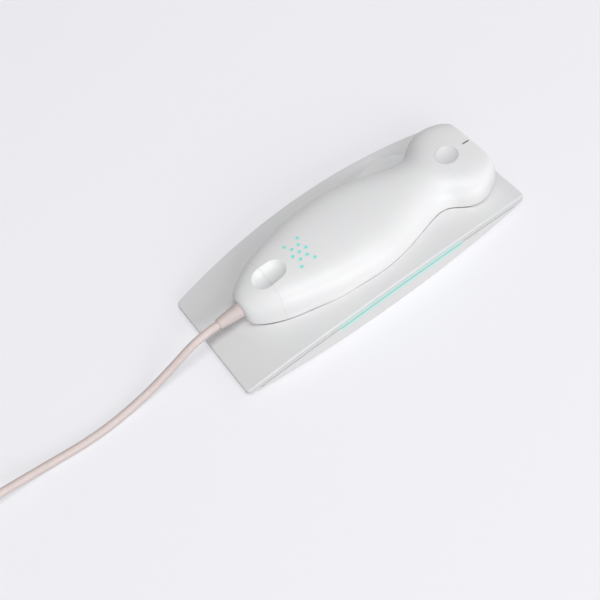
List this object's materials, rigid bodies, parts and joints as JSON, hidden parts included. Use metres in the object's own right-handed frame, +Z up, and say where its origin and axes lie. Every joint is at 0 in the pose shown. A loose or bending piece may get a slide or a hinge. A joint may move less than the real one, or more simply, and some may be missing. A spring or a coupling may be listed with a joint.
{
  "type": "handheld ultrasound probe",
  "caption": "Wired handheld ultrasound probe with a dished push button and light dots, lying in a bow-sided lit cradle, with its coiled cable and plug.",
  "frame": {"origin": "centre of the cradle's footprint, on the table its rubber feet stand on", "axes": "+X along the cradle towards the probe's head, +Y to the far side with the finger scoop, +Z up"},
  "size_m": [0.4194, 0.1283, 0.034],
  "materials": {
    "probe_white": "fine satin moulding",
    "cradle_white": "fine satin moulding",
    "cradle_base_white": "fine satin moulding",
    "button_grey": "satin moulding",
    "inner_plastic": "plain moulding",
    "light_turquoise": "frosted light guide, lit",
    "emitter_white": "small light emitters",
    "mark_slate": "dark inlay",
    "lens_grey": "smooth silicone",
    "relief_beige": "smooth elastomer",
    "cable_beige": "smooth elastomer sheath",
    "matching_resin": "filled resin",
    "crystal": "cut ceramic",
    "backing": "filled resin",
    "flex_amber": "polyimide film",
    "seal_rubber": "moulded rubber",
    "pad_grey": "soft pad",
    "board_green": "coated circuit board",
    "chip_black": "moulded package",
    "plated_steel": "plated sheet",
    "screw_steel": "plated screw",
    "ballast_steel": "zinc-plated plate",
    "spreader_aluminium": "milled plate",
    "contact_gold": "gold-plated contacts",
    "strap_fabric": "hook-and-loop strap"
  },
  "bodies": {
    "cradle": {"cradle_cover": "cradle_white", "cradle_base": "cradle_base_white", "light_strip": "light_turquoise", "strip_board": "board_green", "strip_emitters": "emitter_white", "control_board": "board_green", "control_chips": "chip_black", "inlet_shell": "plated_steel", "inlet_tongue": "chip_black", "ballast_plate": "ballast_steel", "cradle_feet": "seal_rubber", "cradle_screws": "screw_steel", "nest_pads": "pad_grey", "cable_run": "cable_beige", "cable_coil": "cable_beige", "cable_tie": "strap_fabric", "plug_overmould": "relief_beige", "plug_shell": "plated_steel", "plug_contacts": "contact_gold"},
    "probe": {"acoustic_lens": "lens_grey", "array_carrier": "inner_plastic", "array_flex": "flex_amber", "backing_block": "backing", "board_chips": "chip_black", "button_board": "board_green", "button_frame": "inner_plastic", "button_seal": "seal_rubber", "button_switch": "chip_black", "cable_clamp": "inner_plastic", "cable_lead": "cable_beige", "clamp_screws": "screw_steel", "crystal_array": "crystal", "flex_connector": "inner_plastic", "heat_spreader": "spreader_aluminium", "lead_connector": "inner_plastic", "light_board": "board_green", "light_emitters": "emitter_white", "light_guide": "light_turquoise", "main_board": "board_green", "matching_layer": "matching_resin", "nose_bezel": "probe_white", "orientation_mark": "mark_slate", "probe_lower_shell": "probe_white", "probe_tail_cap": "probe_white", "probe_upper_shell": "probe_white", "screw_plugs": "probe_white", "shell_gasket": "seal_rubber", "shell_screws": "screw_steel", "shield_can": "plated_steel", "strain_relief": "relief_beige"},
    "button": {"button_cap": "button_grey"}
  },
  "joints": [
    {"name": "probe_lift", "type": "slide", "parent": "cradle", "child": "probe", "axis": [0, 0, 1], "range_m": [0, 0.06]},
    {"name": "button_press", "type": "slide", "parent": "probe", "child": "button", "axis": [0, 0, -1], "range_m": [0, 0.0008], "stiffness_N_per_m": 2500}
  ]
}
